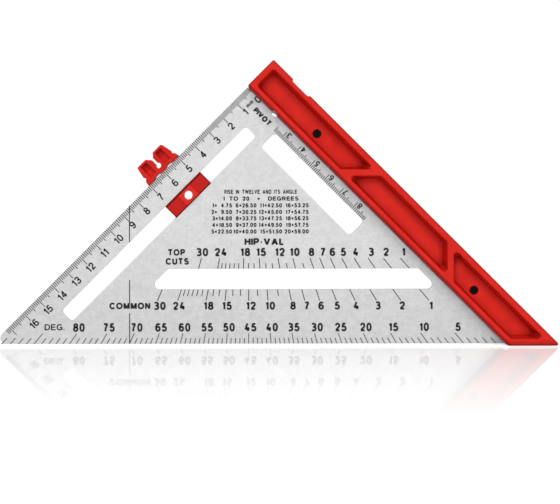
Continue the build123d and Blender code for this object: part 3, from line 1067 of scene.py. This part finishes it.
angleTable = {
    "angles": (
        4.75, 9.5, 14, 18.5, 22.5, 26.5, 30.25, 33.75, 37, 40,
        42.5, 45, 47.25, 49.5, 51.5, 53.25, 54.75, 56.25, 57.75, 59,
    ),                                       # for a rise of 1 to 20 in 12, rounded
    "columns": (-7.95, 4.3, 17.1, 30.45),     # right ends, to the right of the corner
    "rows": (69.4, 66.1, 62.9, 59.6, 56.3),
    "height": 2.2,
    "stretch": 1.03,
    "stroke": 0.25,
    "middle": 6.4,                            # the table turns over about this line for the back
    "titles": (("RISE IN TWELVE AND ITS ANGLE", 76.2, 36.5), ("1 TO 20  =  DEGREES", 72.8, 38.0)),
}


def drawTable(sheet, values):
    # rise in twelve and its angle
    side = 1 if sheet["front"] else -1
    for i, angle in enumerate(values["angles"]):
        column = values["columns"][i // len(values["rows"])]
        row = values["rows"][i % len(values["rows"])]
        entry = f"{i + 1}={angle:5.2f}"
        length = letterShape(entry, values["stroke"], False)[1] * values["height"] * values["stretch"]
        centre = values["middle"] + side * (column - length / 2 - values["middle"])
        addText(
            sheet, entry, onBase(centre, row), Vector((1, 0, 0)), values["height"],
            stroke=values["stroke"], length=length,
        )
    for title, height, length in values["titles"]:
        addText(
            sheet, title, onBase(values["middle"], height), Vector((1, 0, 0)), values["height"],
            stroke=values["stroke"], length=length,
        )


for sideName, isFront in (("Front", True), ("Back", False)):
    linear = newSheet(isFront)
    drawLegScale(linear, legScale)
    drawRuleScale(linear, ruleScale)
    layMarks("lengthScales" + sideName, linear, blackInk)
    ticks = newSheet(isFront)
    drawDegreeTicks(ticks, degreeScale)
    layMarks("degreeTicks" + sideName, ticks, greyInk)
    numbers = newSheet(isFront)
    drawDegreeNumbers(numbers, degreeScale)
    drawRafterScale(numbers, rafterScales["common"], rafterScales)
    drawRafterScale(numbers, rafterScales["hip"], rafterScales)
    drawTable(numbers, angleTable)
    layMarks("angleScales" + sideName, numbers, blackInk)
print("marks laid")

# floor: pale and slightly glossy, its gloss fading out in front of the square
floorValues = {
    "colour": (0.93, 0.93, 0.93),
    "lift": 0.48,          # added to the matt part that camera and gloss see, so that it meets the backdrop
    "gloss": 0.5,
    "glossStart": 0.01,    # m in front of the square
    "glossFull": 0.024,
    "glossRoughness": 0.03,
    "glossReach": 0.235,   # the gloss is gone this far in front of the square
    "size": 30,
}


def makeFloor(values):
    material, tree, shader = newMaterial("floor")
    tree.nodes.remove(shader)
    end = tree.nodes["Material Output"]
    place = addNode(tree, "ShaderNodeTexCoord")
    parts = addNode(tree, "ShaderNodeSeparateXYZ")
    fade = addNode(tree, "ShaderNodeMapRange")
    fade.inputs["From Min"].default_value = -values["glossReach"]
    fade.inputs["From Max"].default_value = 0.0
    fade.inputs["To Max"].default_value = values["gloss"]
    matt = addNode(tree, "ShaderNodeBsdfDiffuse", Color=(*values["colour"], 1))
    gloss = addNode(tree, "ShaderNodeBsdfGlossy", Roughness=values["glossRoughness"])
    mix = addNode(tree, "ShaderNodeMixShader")
    tree.links.new(place.outputs["Object"], parts.inputs[0])
    tree.links.new(parts.outputs["Y"], fade.inputs["Value"])
    clear = span(tree, parts.outputs["Y"], 1.0, 0.0, -values["glossFull"], -values["glossStart"])
    tree.links.new(multiply(tree, fade.outputs["Result"], clear), mix.inputs[0])
    tree.links.new(gloss.outputs[0], mix.inputs[2])
    path = addNode(tree, "ShaderNodeLightPath")
    level = addNode(tree, "ShaderNodeMath", operation="MULTIPLY")
    level.inputs[1].default_value = values["lift"]
    lift = addNode(tree, "ShaderNodeEmission")
    both = addNode(tree, "ShaderNodeAddShader")
    seen = addNode(tree, "ShaderNodeMath", operation="MAXIMUM")
    tree.links.new(path.outputs["Is Camera Ray"], seen.inputs[0])
    tree.links.new(path.outputs["Is Glossy Ray"], seen.inputs[1])
    tree.links.new(seen.outputs[0], level.inputs[0])
    tree.links.new(level.outputs[0], lift.inputs["Strength"])
    tree.links.new(matt.outputs[0], both.inputs[0])
    tree.links.new(lift.outputs[0], both.inputs[1])
    tree.links.new(both.outputs[0], mix.inputs[1])
    tree.links.new(mix.outputs[0], end.inputs["Surface"])
    half = values["size"] / 2
    mesh = bpy.data.meshes.new("floor")
    corners = [(-half, -half, 0), (half, -half, 0), (half, half, 0), (-half, half, 0)]
    mesh.from_pydata(corners, [], [(0, 1, 2, 3)])
    mesh.materials.append(material)
    floor = bpy.data.objects.new("floor", mesh)
    bpy.context.scene.collection.objects.link(floor)


makeFloor(floorValues)
print("floor laid")
